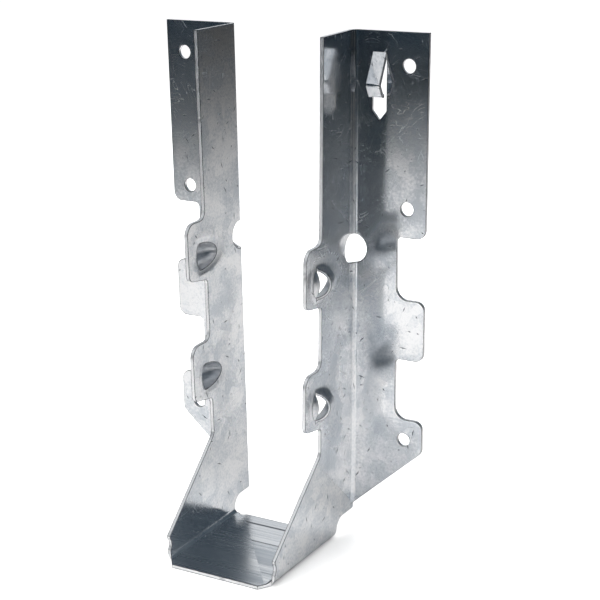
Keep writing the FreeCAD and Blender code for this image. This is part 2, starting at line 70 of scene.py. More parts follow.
class NodeBench:
    """Adds and joins the nodes of one material, world or node group."""

    def __init__(self, tree: bpy.types.NodeTree) -> None:
        """Start on an empty tree."""
        self.tree = tree
        tree.nodes.clear()

    def add(self, kind: str, inputs: dict[Any, Any] | None = None, **settings: Any) -> bpy.types.Node:
        """Add a node.

        Args:
            kind: Blender's name of the node type.
            inputs: Values or output sockets, by the name or number of the input they go to.
            settings: Properties of the node itself.

        Returns:
            The new node.
        """
        node = self.tree.nodes.new(kind)
        for name, setting in settings.items():
            setattr(node, name, setting)
        for name, value in (inputs or {}).items():
            socket = node.inputs[name]
            if isinstance(value, bpy.types.NodeSocket):
                self.tree.links.new(value, socket)
            else:
                socket.default_value = value
        return node

    def group(self, tree: bpy.types.NodeTree, inputs: dict[str, Any] | None = None) -> Any:
        """Place a node group, and return its outputs."""
        return self.add("ShaderNodeGroup", inputs, node_tree=tree).outputs

    def math(self, operation: str, *values: Any, clamp: bool = False) -> Socket:
        """Add a Math node on the given values, and return its output."""
        node = self.add("ShaderNodeMath", dict(enumerate(values)), operation=operation, use_clamp=clamp)
        return node.outputs[0]

    def plus(self, total: Any, value: Any, share: float, clamp: bool = False) -> Socket:
        """Add a share of a value to a total."""
        return self.math("ADD", total, self.math("MULTIPLY", value, share), clamp=clamp)

    def vector(self, operation: str, *values: Any) -> Socket:
        """Add a Vector Math node on the given values, and return its vector."""
        return self.add("ShaderNodeVectorMath", dict(enumerate(values)), operation=operation).outputs[0]

    def measure(self, operation: str, *values: Any) -> Socket:
        """Add a Vector Math node on the given values, and return its number."""
        return self.add("ShaderNodeVectorMath", dict(enumerate(values)), operation=operation).outputs["Value"]

    def parts(self, vector: Any) -> Any:
        """Split a vector into its X, Y and Z."""
        return self.add("ShaderNodeSeparateXYZ", {"Vector": vector}).outputs

    def turned(self, vector: Any, angle: Any) -> Socket:
        """Turn a vector in the plane of the sheet."""
        inputs = {"Vector": vector, "Angle": angle}
        return self.add("ShaderNodeVectorRotate", inputs, rotation_type="Z_AXIS").outputs[0]

    def ramp(self, value: Any, low: Any, high: Any, to_low: float = 0.0, to_high: float = 1.0) -> Socket:
        """Map a value smoothly from one range to another, and hold it at the ends."""
        inputs = {"Value": value, "From Min": low, "From Max": high, "To Min": to_low, "To Max": to_high}
        return self.add("ShaderNodeMapRange", inputs, interpolation_type="SMOOTHSTEP").outputs["Result"]

    def noise(self, vector: Any, scale: Any, detail: float, distortion: float = 0.0, plane: bool = True) -> Socket:
        """Add a fractal noise, in the plane of the sheet or in space, and return its value."""
        inputs = {"Vector": vector, "Scale": scale, "Detail": detail, "Distortion": distortion}
        return self.add("ShaderNodeTexNoise", inputs, noise_dimensions="2D" if plane else "3D").outputs[0]

    def cells(self, place: Any, scale: Any, randomness: float) -> Any:
        """Divide the plane of the sheet into cells, and return their colours and their middles."""
        inputs = {"Vector": place, "Scale": scale, "Randomness": randomness}
        return self.add("ShaderNodeTexVoronoi", inputs, voronoi_dimensions="2D", feature="F1").outputs

    def blend(self, factor: Any, first: Any, second: Any) -> Socket:
        """Mix two colours by a factor."""
        node = self.add("ShaderNodeMix", {0: factor, 6: first, 7: second}, data_type="RGBA")
        return node.outputs[2]

    def give(self, values: dict[str, Socket]) -> bpy.types.NodeTree:
        """Let a node group give out the named values, and return the group."""
        self.add("NodeGroupOutput", values)
        return self.tree


@dataclass(frozen=True)
class Pattern:
    """A surface effect that is kept as a node group.

    Attributes:
        name: Name of the group.
        inputs: Name and default value of each number that it takes.
        outputs: Names of the values that it gives.
        placed: Whether it also takes a place, as most do.
    """

    name: str
    inputs: dict[str, float]
    outputs: tuple[str, ...]
    placed: bool = True

    def open(self) -> tuple[NodeBench, Any]:
        """Make the empty group with its sockets.

        Returns:
            The bench for the group's nodes, and the sockets of what it takes.
        """
        tree = bpy.data.node_groups.new(self.name, "ShaderNodeTree")
        if self.placed:
            tree.interface.new_socket("Place", in_out="INPUT", socket_type="NodeSocketVector")
        for name, value in self.inputs.items():
            socket = tree.interface.new_socket(name, in_out="INPUT", socket_type="NodeSocketFloat")
            socket.default_value = value
        for name in self.outputs:
            kind = "NodeSocketVector" if name == "Normal" else "NodeSocketFloat"
            tree.interface.new_socket(name, in_out="OUTPUT", socket_type=kind)
        bench = NodeBench(tree)
        return bench, bench.add("NodeGroupInput").outputs


def eased_edge() -> bpy.types.NodeTree:
    """Build the slight rounding that shearing gives the edges of a sheet.

    Returns:
        A group that gives the rounded normal, and a mask of the rounding.
    """
    flat_agreement, rounded_agreement = 0.999, 0.955
    bench, given = Pattern("eased_edge", {"Radius": 0.0004}, ("Normal", "Mask"), placed=False).open()
    rounded = bench.add("ShaderNodeBevel", {"Radius": given["Radius"]}, samples=8).outputs[0]
    flat = bench.add("ShaderNodeNewGeometry").outputs["Normal"]
    agreement = bench.measure("DOT_PRODUCT", rounded, flat)
    return bench.give({"Normal": rounded, "Mask": bench.ramp(agreement, flat_agreement, rounded_agreement)})


def zinc_bloom() -> bpy.types.NodeTree:
    """Build the cloudy look of a zinc coat.

    Returns:
        A group that gives slow clouds, fine speckle, and the faint facets of the coat's crystals.
    """
    speckles_per_cloud = 22.0
    crystal_bend = 0.0012
    pattern = Pattern("zinc_bloom", {"Cloud size": 0.02, "Crystal size": 0.004}, ("Cloud", "Speckle", "Crystal"))
    bench, given = pattern.open()
    place = given["Place"]
    cloud_scale = bench.math("DIVIDE", 1.0, given["Cloud size"])
    crystal_scale = bench.math("DIVIDE", 1.0, given["Crystal size"])
    cloud = bench.noise(place, cloud_scale, detail=5.0, distortion=0.6)
    speckle = bench.noise(place, bench.math("MULTIPLY", cloud_scale, speckles_per_cloud), detail=3.0)
    wander = bench.add("ShaderNodeTexNoise", {"Vector": place, "Scale": crystal_scale, "Detail": 2.0})
    bent = bench.vector("MULTIPLY_ADD", wander.outputs["Color"], (crystal_bend, crystal_bend, 0.0), place)
    cells = bench.cells(bent, crystal_scale, randomness=1.0)
    crystal = bench.add("ShaderNodeSeparateColor", {"Color": cells["Color"]}).outputs["Red"]
    return bench.give({"Cloud": cloud, "Speckle": speckle, "Crystal": crystal})


def handling_marks() -> bpy.types.NodeTree:
    """Build the short dark nicks that handling leaves on a coated sheet.

    Returns:
        A group that gives a mask of short bent strokes, each at its own angle and length.
    """
    shortest_half, longest_half = 0.15, 0.5
    hardness = 1.4
    least_width = 1e-6
    pattern = Pattern(
        "handling_marks",
        {"Spacing": 0.006, "Length": 0.003, "Width": 0.00024, "Bend": 160.0, "Share": 0.5},
        ("Mask",),
    )
    bench, given = pattern.open()
    cells = bench.cells(given["Place"], bench.math("DIVIDE", 1.0, given["Spacing"]), randomness=0.9)
    chance = bench.add("ShaderNodeSeparateColor", {"Color": cells["Color"]}).outputs
    offset = bench.vector("SUBTRACT", given["Place"], cells["Position"])
    stroke = bench.parts(bench.turned(offset, bench.math("MULTIPLY", chance["Red"], math.tau)))
    along = bench.math("ABSOLUTE", stroke["X"])
    bend = bench.math("MULTIPLY", bench.math("SUBTRACT", chance["Green"], 0.5), given["Bend"])
    bow = bench.math("MULTIPLY", bench.math("MULTIPLY", along, along), bend)
    across = bench.math("ABSOLUTE", bench.math("ADD", stroke["Y"], bow))
    reach = bench.ramp(chance["Blue"], 0.0, 1.0, shortest_half, longest_half)
    half = bench.math("MULTIPLY", given["Length"], reach)
    fade = bench.math("SUBTRACT", 1.0, bench.math("DIVIDE", along, half), clamp=True)
    thick = bench.math("MAXIMUM", bench.math("MULTIPLY", given["Width"], fade), least_width)
    body = bench.math("SUBTRACT", hardness, bench.math("DIVIDE", across, thick), clamp=True)
    lot = bench.add("ShaderNodeTexWhiteNoise", {"Vector": cells["Position"]}, noise_dimensions="2D")
    present = bench.math("LESS_THAN", lot.outputs["Value"], given["Share"])
    return bench.give({"Mask": bench.math("MULTIPLY", body, present)})


def hairlines() -> bpy.types.NodeTree:
    """Build the faint curved scuffs that show in a coated sheet's sheen.

    Returns:
        A group that gives a mask of long thin curved lines.
    """
    turns_and_stretches = ((0.4, 2.6), (1.5, 3.4), (2.5, 2.2))
    gap_scale = 1.7
    gap_span = (0.48, 0.62)
    bench, given = Pattern("hairlines", {"Size": 0.014, "Width": 0.009}, ("Mask",)).open()
    scale = bench.math("DIVIDE", 1.0, given["Size"])
    total: Any = 0.0
    for turn, stretch in turns_and_stretches:
        turned = bench.turned(given["Place"], turn)
        drawn = bench.vector("MULTIPLY", turned, (1.0, stretch, 1.0))
        value = bench.noise(drawn, scale, detail=1.5, distortion=1.1)
        ridge = bench.math("ABSOLUTE", bench.math("SUBTRACT", value, 0.5))
        line = bench.math("SUBTRACT", 1.0, bench.math("DIVIDE", ridge, given["Width"]), clamp=True)
        gaps = bench.noise(turned, bench.math("MULTIPLY", scale, gap_scale), detail=2.0)
        total = bench.math("MAXIMUM", total, bench.math("MULTIPLY", line, bench.ramp(gaps, *gap_span)))
    return bench.give({"Mask": total})


def rolled_grain() -> bpy.types.NodeTree:
    """Build the fine lines that rolling leaves along a sheet.

    Returns:
        A group that gives the height of the lines, along the first axis of the place.
    """
    bench, given = Pattern("rolled_grain", {"Pitch": 0.0004, "Run": 0.02}, ("Height",)).open()
    along = bench.math("DIVIDE", 1.0, given["Run"])
    across = bench.math("DIVIDE", 1.0, given["Pitch"])
    stretch = bench.add("ShaderNodeCombineXYZ", {"X": along, "Y": across}).outputs[0]
    drawn = bench.vector("MULTIPLY", given["Place"], stretch)
    return bench.give({"Height": bench.noise(drawn, 1.0, detail=3.0)})


def drawn_metal(sheet: "HangerSheet") -> bpy.types.NodeTree:
    """Build the soft rise of the wall around its pressed domes.

    Args:
        sheet: The sheet, whose sizes say where the domes are.

    Returns:
        A group that gives the rise, towards the side that a dome stands out on.
    """
    bench, given = Pattern("drawn_metal", {"Spread": 1.5}, ("Rise",)).open()
    place = bench.parts(given["Place"])
    behind = bench.math("SUBTRACT", place["Y"], sheet.slit)
    run = bench.math(
        "MAXIMUM", bench.math("DIVIDE", behind, sheet.dome_run), bench.math("DIVIDE", behind, -sheet.lip_run)
    )
    total: Any = 0.0
    for side, heights in zip((1.0, -1.0), sheet.dome_heights):
        here = bench.math("GREATER_THAN", bench.math("MULTIPLY", place["X"], side), 0.0)
        for height in heights:
            rise = bench.math("DIVIDE", bench.math("SUBTRACT", place["Z"], height), sheet.dome_half_height)
            square = bench.math("ADD", bench.math("POWER", rise, 2.0), bench.math("POWER", run, 2.0))
            near = bench.ramp(bench.math("SQRT", square), 1.0, given["Spread"], 1.0, 0.0)
            total = bench.math("MAXIMUM", total, bench.math("MULTIPLY", near, here))
    normal = bench.parts(bench.add("ShaderNodeNewGeometry").outputs["Normal"])
    outwards = bench.math("SIGN", bench.math("MULTIPLY", normal["X"], place["X"]))
    return bench.give({"Rise": bench.math("MULTIPLY", total, outwards)})


def new_material(name: str) -> tuple[bpy.types.Material, NodeBench]:
    """Make an empty material.

    Args:
        name: Its name.

    Returns:
        The material, and the bench for its nodes.
    """
    material = bpy.data.materials.new(name)
    material.use_nodes = True
    return material, NodeBench(material.node_tree)


def make_bare_metal(bench: NodeBench, colour: Socket, sheen: Socket, relief: dict[str, Any]) -> None:
    """Finish a material as bare metal.

    Args:
        bench: The bench of the material.
        colour: Its colour.
        sheen: Its roughness.
        relief: What its Bump node takes.
    """
    bump = bench.add("ShaderNodeBump", relief)
    inputs = {"Base Color": colour, "Metallic": 1.0, "Roughness": sheen, "Normal": bump.outputs[0]}
    shader = bench.add("ShaderNodeBsdfPrincipled", inputs)
    bench.add("ShaderNodeOutputMaterial", {"Surface": shader.outputs[0]})


@dataclass(frozen=True)
class GalvanisedFinish:
    """Hot-dip galvanised sheet: satin zinc with clouds, speckle, rolling lines and handling marks, and a dark outline
    painted as shade along its eased edges.

    Attributes:
        pale: Colour of the zinc where it is lightest.
        deep: Colour of the zinc where it is darkest.
        mark: Colour of the handling marks.
        painted_edge_shade: Colour of the dark outline painted as shade along the eased edges.
        cloud_share: How much the clouds count in the tone.
        speckle_share: How much the speckle counts in it.
        crystal_share: How much the crystals count in it.
        colour_span: Tones between which the colour goes from deep to pale.
        sheen_span: Tones between which the roughness goes from rough to smooth.
        smooth: Roughness of the lightest zinc.
        rough: Roughness of the darkest zinc.
        scuff_sheen: Roughness that a scuff adds.
        mark_sheen: Roughness that a handling mark adds.
        drawn: Roughness that pressing adds to a dome.
        seat: Roughness that wear adds to what faces up.
        level_span: Upward parts of the normal between which a face comes to count as level.
        nick_strength: How dark the nicks are.
        dot_strength: How dark the small dots are.
        dots: What the dots change in the pattern of the nicks.
        dot_shift: How far their pattern is moved, so that it doesn't repeat that of the nicks.
        wave_size: Size of the slow waves in the sheet.
        wave_height: Height of those waves.
        grain_height: Height of the rolling lines.
        speckle_height: Height of the speckle.
        scuff_depth: Depth of a scuff.
        mark_depth: Depth of a handling mark.
        draw_height: Height of the soft rise around a dome.
    """

    pale: Colour = (0.88, 0.882, 0.89, 1.0)
    deep: Colour = (0.60, 0.635, 0.675, 1.0)
    mark: Colour = (0.10, 0.11, 0.13, 1.0)
    painted_edge_shade: Colour = (0.06, 0.065, 0.075, 1.0)
    cloud_share: float = 0.62
    speckle_share: float = 0.38
    crystal_share: float = 0.14
    colour_span: Span = (0.32, 0.68)
    sheen_span: Span = (0.3, 0.7)
    smooth: float = 0.08
    rough: float = 0.20
    scuff_sheen: float = 0.16
    mark_sheen: float = 0.2
    drawn: float = 0.24
    seat: float = 0.12
    level_span: Span = (0.8, 0.98)
    nick_strength: float = 0.85
    dot_strength: float = 0.6
    dots: tuple[tuple[str, float], ...] = (
        ("Spacing", 0.0034), ("Length", 0.0009), ("Width", 0.00014), ("Share", 0.25),
    )
    dot_shift: Point = (0.31, 0.17, 0.0)
    wave_size: float = 0.035
    wave_height: float = 0.00006
    grain_height: float = 0.0000008
    speckle_height: float = 0.000005
    scuff_depth: float = 0.0000012
    mark_depth: float = 0.00001
    draw_height: float = 0.0003

    def build(self, patterns: dict[str, bpy.types.NodeTree]) -> bpy.types.Material:
        """Make the material.

        Args:
            patterns: The node groups of the surface effects, by name.

        Returns:
            The material for the faces of the sheet.
        """
        material, bench = new_material("galvanised_zinc")
        place = bench.add("ShaderNodeUVMap", uv_map=BLANK_MAP).outputs[0]
        bloom, nicks, scuffs, grain = (
            bench.group(patterns[name], {"Place": place})
            for name in ("zinc_bloom", "handling_marks", "hairlines", "rolled_grain")
        )
        aside = bench.vector("ADD", place, self.dot_shift)
        dots = bench.group(patterns["handling_marks"], {"Place": aside, **dict(self.dots)})
        marks = bench.math(
            "MAXIMUM",
            bench.math("MULTIPLY", nicks["Mask"], self.nick_strength),
            bench.math("MULTIPLY", dots["Mask"], self.dot_strength),
        )
        tone = bench.math("MULTIPLY", bloom["Cloud"], self.cloud_share)
        tone = bench.plus(tone, bloom["Speckle"], self.speckle_share)
        tone = bench.plus(tone, bench.math("SUBTRACT", bloom["Crystal"], 0.5), self.crystal_share)
        ease = bench.group(patterns["eased_edge"])
        colour = bench.blend(bench.ramp(tone, *self.colour_span), self.deep, self.pale)
        colour = bench.blend(marks, colour, self.mark)
        # painted shade: a dark outline along the eased edges
        colour = bench.blend(ease["Mask"], colour, self.painted_edge_shade)
        sheen = bench.ramp(tone, *self.sheen_span, self.rough, self.smooth)
        pressed = bench.add("ShaderNodeAttribute", attribute_name=PRESSED_LAYER).outputs["Fac"]
        facing = bench.parts(bench.add("ShaderNodeNewGeometry").outputs["Normal"])
        level = bench.ramp(facing["Z"], *self.level_span)
        for value, share in (
            (scuffs["Mask"], self.scuff_sheen), (pressed, self.drawn), (marks, self.mark_sheen), (level, self.seat),
        ):
            sheen = bench.plus(sheen, value, share, clamp=True)
        height = bench.math("MULTIPLY", bench.noise(place, 1.0 / self.wave_size, detail=1.0), self.wave_height)
        around = bench.add("ShaderNodeTexCoord").outputs["Object"]
        rise = bench.group(patterns["drawn_metal"], {"Place": around})["Rise"]
        for value, share in (
            (grain["Height"], self.grain_height), (bloom["Speckle"], self.speckle_height),
            (scuffs["Mask"], -self.scuff_depth), (marks, -self.mark_depth), (rise, self.draw_height),
        ):
            height = bench.plus(height, value, share)
        relief = {"Height": height, "Strength": 1.0, "Distance": 1.0, "Normal": ease["Normal"]}
        make_bare_metal(bench, colour, sheen, relief)
        return material


@dataclass(frozen=True)
class ShearedFinish:
    """Sheared edge of the sheet: bright smeared zinc over torn steel, with a dark outline painted as shade along its
    eased edges.

    Attributes:
        pale: Colour of the smeared zinc.
        torn: Colour of the torn steel.
        painted_edge_shade: Colour of the dark outline painted as shade along the eased edges.
        patch_scale: How many torn patches there are in a metre.
        patch_span: Values of the patches' noise between which the zinc gives way to steel.
        chatter_scale: How many chatter marks of the shear there are in a metre.
        chatter_span: Values of their noise between which the roughness goes from smooth to rough.
        smooth: Least roughness.
        rough: Greatest roughness.
        chatter_strength: How strongly the chatter marks tilt the face.
        chatter_depth: How deep they are.
    """

    pale: Colour = (0.97, 0.972, 0.98, 1.0)
    torn: Colour = (0.42, 0.43, 0.45, 1.0)
    painted_edge_shade: Colour = (0.10, 0.105, 0.115, 1.0)
    patch_scale: float = 140.0
    patch_span: Span = (0.58, 0.78)
    chatter_scale: float = 900.0
    chatter_span: Span = (0.3, 0.7)
    smooth: float = 0.30
    rough: float = 0.48
    chatter_strength: float = 0.35
    chatter_depth: float = 0.00002

    def build(self, patterns: dict[str, bpy.types.NodeTree]) -> bpy.types.Material:
        """Make the material.

        Args:
            patterns: The node groups of the surface effects, by name.

        Returns:
            The material for the cut edges of the sheet.
        """
        material, bench = new_material("sheared_edge")
        place = bench.add("ShaderNodeTexCoord").outputs["Object"]
        chatter = bench.noise(place, self.chatter_scale, detail=2.0, plane=False)
        patches = bench.noise(place, self.patch_scale, detail=3.0, plane=False)
        ease = bench.group(patterns["eased_edge"])
        colour = bench.blend(bench.ramp(patches, *self.patch_span), self.pale, self.torn)
        # painted shade: a dark outline along the eased edges
        colour = bench.blend(ease["Mask"], colour, self.painted_edge_shade)
        sheen = bench.ramp(chatter, *self.chatter_span, self.smooth, self.rough)
        relief = {
            "Height": chatter, "Strength": self.chatter_strength, "Distance": self.chatter_depth,
            "Normal": ease["Normal"],
        }
        make_bare_metal(bench, colour, sheen, relief)
        return material


def select_only(item: bpy.types.Object | None) -> None:
    """Deselect everything, then select one object and make it the active one.

    Args:
        item: The object, or None to select nothing.
    """
    bpy.ops.object.select_all(action="DESELECT")
    if item:
        item.select_set(True)
        bpy.context.view_layer.objects.active = item


@dataclass
class HangerSheet:
    """The folded sheet that makes the whole hanger.

    Attributes:
        node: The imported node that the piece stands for.
        thickness: Thickness of the sheet.
        height: Height of the hanger.
        depth: Depth of the hanger, with the origin at its middle.
        outer_half_width: Distance from the middle to the outside of each side wall.
        bend_radius: Inner radius of every fold.
        wall_depth: Depth of each wall between its tabs.
        tab_reach: How far a tab stands out in front of that.
        dome_setback: Distance of a dome's slit from the front of its tab.
        dome_heights: Heights of the domes' middles on the right wall, and on the left wall.
        dome_half_height: Half the height of a dome's hollow.
        dome_run: Length of a dome's hollow behind its slit.
        lip_run: Length of the hollow in front of the slit.
        dome_reach: How far a dome spreads above and below its middle, with its blend.
        dome_length: How far it spreads behind its slit, with its blend.
        lip_length: How far it spreads in front of the slit, with its blend.
        dome_side: How far out a dome lies at most, as a share of its wall's distance.
        slit_edge: Faces nearer to the slit than this may be its cut edges.
        prong_place: Distance of the prongs' middles from the middle of the hanger.
        prong_half_width: Half the width of a prong's slot.
        prong_lift: A face of the prong lies at least this far in front of the flange.
        crease: Faces whose normals agree less than this meet in a sharp line.
        flatness: A face is flat where its normal agrees more than this with an axis.
        merge_distance: Corners of the mesh that are nearer than this are one.
        right_spring: How far the right wall leans out at the top, at its front and at its back.
        left_spring: The same for the left wall.
        spring_foot: Height at which the walls stand at their nominal distance.
        wall_front: Place of the walls' front along the hanger's depth.
        back_shift: How far along the blank's pattern the back of the sheet is moved from its front.
        finishes: The materials for the faces and for the cut edges.
    """

    node: str = "joist_hanger"
    thickness: float = 1.2 * MILLIMETRE
    height: float = 168.3 * MILLIMETRE
    depth: float = 56.1 * MILLIMETRE
    outer_half_width: float = 21.05 * MILLIMETRE
    bend_radius: float = 1.6 * MILLIMETRE
    wall_depth: float = 23.2 * MILLIMETRE
    tab_reach: float = 10.4 * MILLIMETRE
    dome_setback: float = 6.5 * MILLIMETRE
    dome_heights: tuple[Span, Span] = ((0.0927, 0.0519), (0.0963, 0.0555))
    dome_half_height: float = 4.4 * MILLIMETRE
    dome_run: float = 10.0 * MILLIMETRE
    lip_run: float = 2.5 * MILLIMETRE
    dome_reach: float = 6.5 * MILLIMETRE
    dome_length: float = 11.5 * MILLIMETRE
    lip_length: float = 3.0 * MILLIMETRE
    dome_side: float = 1.4
    slit_edge: float = 0.15 * MILLIMETRE
    prong_place: float = 29.8 * MILLIMETRE
    prong_half_width: float = 2.45 * MILLIMETRE
    prong_lift: float = 0.1 * MILLIMETRE
    crease: float = math.cos(math.radians(27.0))
    flatness: float = 0.9999995
    merge_distance: float = 0.002 * MILLIMETRE
    right_spring: Span = (3.55 * MILLIMETRE, 0.90 * MILLIMETRE)
    left_spring: Span = (2.65 * MILLIMETRE, 1.47 * MILLIMETRE)
    spring_foot: float = 40.0 * MILLIMETRE
    wall_front: float = -24.05 * MILLIMETRE
    back_shift: float = 0.5
    finishes: list[bpy.types.Material] = field(default_factory=list)

    @property
    def flange_front(self) -> float:
        """Place of the flanges' front faces along the hanger's depth."""
        return self.depth / 2 - self.thickness

    @property
    def slit(self) -> float:
        """Place of the domes' slits along the hanger's depth."""
        return self.depth / 2 - self.wall_depth - self.tab_reach + self.dome_setback

    def build(self) -> bpy.types.Object:
        """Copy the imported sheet, smooth its folds, and dress it.

        Returns:
            The finished piece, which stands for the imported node.
        """
        piece = self._copy_sheet()
        self._mark_edges(piece)
        self._mark_domes(piece)
        self._smooth_folds(piece)
        self._lay_out_blank(piece)
        self._lean_walls(piece)
        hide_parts(self.node)
        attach(piece, "root")
        log.info("%s has %d faces", piece.name, len(piece.data.polygons))
        return piece

    def _copy_sheet(self) -> bpy.types.Object:
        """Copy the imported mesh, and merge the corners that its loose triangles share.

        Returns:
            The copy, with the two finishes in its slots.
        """
        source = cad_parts[self.node]
        piece = bpy.data.objects.new("hanger_sheet", source.data.copy())
        bpy.context.scene.collection.objects.link(piece)
        piece.data.materials.clear()
        for finish in self.finishes:
            piece.data.materials.append(finish)
        select_only(piece)
        bpy.ops.object.mode_set(mode="EDIT")
        bpy.ops.mesh.select_all(action="SELECT")
        bpy.ops.mesh.remove_doubles(threshold=self.merge_distance)
        bpy.ops.object.mode_set(mode="OBJECT")
        return piece

    def _is_by_dome(self, place: Vector) -> bool:
        """Whether a place lies as high and as deep as one of its wall's domes."""
        heights = self.dome_heights[0 if place.x >= 0.0 else 1]
        beside = min(abs(place.z - height) for height in heights) < self.dome_reach
        return beside and -self.lip_length < place.y - self.slit < self.dome_length

    def _is_pressed(self, face: bpy.types.MeshPolygon) -> bool | None:
        """Whether a face belongs to a dome or a prong, and is a face of the sheet there.

        Args:
            face: The face.

        Returns:
            True for a face of the sheet, False for a cut edge, and None elsewhere.
        """
        place = face.center
        in_front = place.y < self.flange_front - self.prong_lift
        if in_front and abs(abs(place.x) - self.prong_place) < self.prong_half_width:
            return abs(face.normal.x) < 0.5
        if self._is_by_dome(place):
            return abs(place.y - self.slit) > self.slit_edge or abs(face.normal.y) < 0.8
        return None

    def _sheet_normal(self, place: Vector) -> Vector:
        """The direction through the sheet's thickness, where it is a wall, a flange, the seat or a fold.

        Args:
            place: A place on the sheet.

        Returns:
            A vector one unit long.
        """
        side = 1.0 if place.x >= 0.0 else -1.0
        out = abs(place.x)
        seat_axis = (self.outer_half_width - self.thickness - self.bend_radius, self.thickness + self.bend_radius)
        if out < seat_axis[0] and place.z < 2.0 * self.thickness:
            return Vector((0.0, 0.0, -1.0))
        if out >= seat_axis[0] and place.z < seat_axis[1]:
            return Vector(((out - seat_axis[0]) * side, 0.0, place.z - seat_axis[1])).normalized()
        fold_axis = (self.outer_half_width + self.bend_radius, self.flange_front - self.bend_radius)
        if place.y > fold_axis[1] and out < fold_axis[0]:
            return Vector(((fold_axis[0] - out) * side, fold_axis[1] - place.y, 0.0)).normalized()
        if place.y > fold_axis[1]:
            return Vector((0.0, -1.0, 0.0))
        return Vector((side, 0.0, 0.0))

    def _mark_edges(self, piece: bpy.types.Object) -> None:
        """Give the sheared finish to the faces that run through the sheet's thickness.

        Args:
            piece: The copy of the sheet.
        """
        for face in piece.data.polygons:
            whole = self._is_pressed(face)
            if whole is None:
                whole = abs(face.normal.dot(self._sheet_normal(face.center))) > 0.7
            face.material_index = (Slot.FACE if whole else Slot.EDGE).value

    def _mark_domes(self, piece: bpy.types.Object) -> None:
        """Mark the corners of the mesh that lie in a pressed dome, for the finish to read.

        Args:
            piece: The copy of the sheet.
        """
        layer = piece.data.attributes.new(PRESSED_LAYER, "FLOAT", "POINT")
        furthest = self.outer_half_width * self.dome_side
        for vertex in piece.data.vertices:
            inside = self._is_by_dome(vertex.co) and abs(vertex.co.x) < furthest
            layer.data[vertex.index].value = 1.0 if inside else 0.0

    def _smooth_folds(self, piece: bpy.types.Object) -> None:
        """Shade the folds and domes round, and keep the flat faces of the sheet flat.

        Args:
            piece: The copy of the sheet.
        """
        mesh = piece.data
        select_only(piece)
        bpy.ops.object.shade_smooth()
        around: list[list[bpy.types.MeshPolygon]] = [[] for _ in mesh.vertices]
        for face in mesh.polygons:
            for corner in face.vertices:
                around[corner].append(face)
        normals: list[Vector] = [Vector((0.0, 0.0, 1.0))] * len(mesh.loops)
        for face in mesh.polygons:
            for loop, corner in zip(face.loop_indices, face.vertices):
                normals[loop] = self._corner_normal(face, around[corner])
        mesh.normals_split_custom_set(normals)

    def _corner_normal(self, face: bpy.types.MeshPolygon, around: list[bpy.types.MeshPolygon]) -> Vector:
        """The shading normal of a face at one of its corners.

        Args:
            face: The face.
            around: The faces that meet at the corner.

        Returns:
            The face's own normal where it is flat, and otherwise the one that runs on into its neighbours.
        """
        if self._is_flat(face):
            return face.normal.copy()
        joined = [other for other in around if other.normal.dot(face.normal) > self.crease]
        flat = [other for other in joined if self._is_flat(other)]
        total = Vector((0.0, 0.0, 0.0))
        for other in flat or joined:
            total += other.normal * (1.0 if flat else other.area)
        return total.normalized()

    def _is_flat(self, face: bpy.types.MeshPolygon) -> bool:
        """Whether a face lies square to the hanger, as its flat walls, flanges and seat do."""
        return max(abs(part) for part in face.normal) > self.flatness

    def _lay_out_blank(self, piece: bpy.types.Object) -> None:
        """Give every face its place on the flat blank, so that the finish runs on through the folds.

        Args:
            piece: The copy of the sheet.
        """
        mesh = piece.data
        while mesh.uv_layers:
            mesh.uv_layers.remove(mesh.uv_layers[0])
        layer = mesh.uv_layers.new(name=BLANK_MAP)
        for face in mesh.polygons:
            side = 1.0 if face.center.x >= 0.0 else -1.0
            outward = side * face.normal.x - face.normal.y - face.normal.z
            shift = 0.0 if outward >= 0.0 else self.back_shift
            for loop in face.loop_indices:
                place = mesh.vertices[mesh.loops[loop].vertex_index].co
                out = abs(place.x)
                rise = side * (min(out, self.outer_half_width) + place.z)
                run = place.y + max(0.0, out - self.outer_half_width)
                layer.data[loop].uv = (rise + shift, run)

    def _lean_walls(self, piece: bpy.types.Object) -> None:
        """Let the walls and flanges spring apart a little towards the top, as the folded sheet does.

        Args:
            piece: The copy of the sheet.
        """
        mesh = piece.data
        step = 0.01 * MILLIMETRE
        steps = [Vector((step, 0.0, 0.0)), Vector((0.0, step, 0.0)), Vector((0.0, 0.0, step))]
        normals = [corner.vector.copy() for corner in mesh.corner_normals]
        for loop in mesh.loops:
            place = mesh.vertices[loop.vertex_index].co
            here = self._spring_shift(place)
            slope = [(self._spring_shift(place + way) - here) / step for way in steps]
            turned = normals[loop.index]
            turned.x /= 1.0 + slope[0]
            turned.y -= slope[1] * turned.x
            turned.z -= slope[2] * turned.x
            normals[loop.index] = turned.normalized()
        for vertex in mesh.vertices:
            vertex.co.x += self._spring_shift(vertex.co)
        mesh.update()
        mesh.normals_split_custom_set(normals)

    def _spring_shift(self, place: Vector) -> float:
        """How far a place on the sheet moves as the walls spring apart.

        Args:
            place: The place before that.

        Returns:
            The distance along X.
        """
        share = max(-1.0, min(1.0, place.x / self.outer_half_width))
        front, back = self.right_spring if place.x >= 0.0 else self.left_spring
        depth = (place.y - self.wall_front) / (self.depth / 2 - self.wall_front)
        reach = front + (back - front) * max(0.0, min(1.0, depth))
        return share * reach * (place.z - self.spring_foot) / (self.height - self.spring_foot)


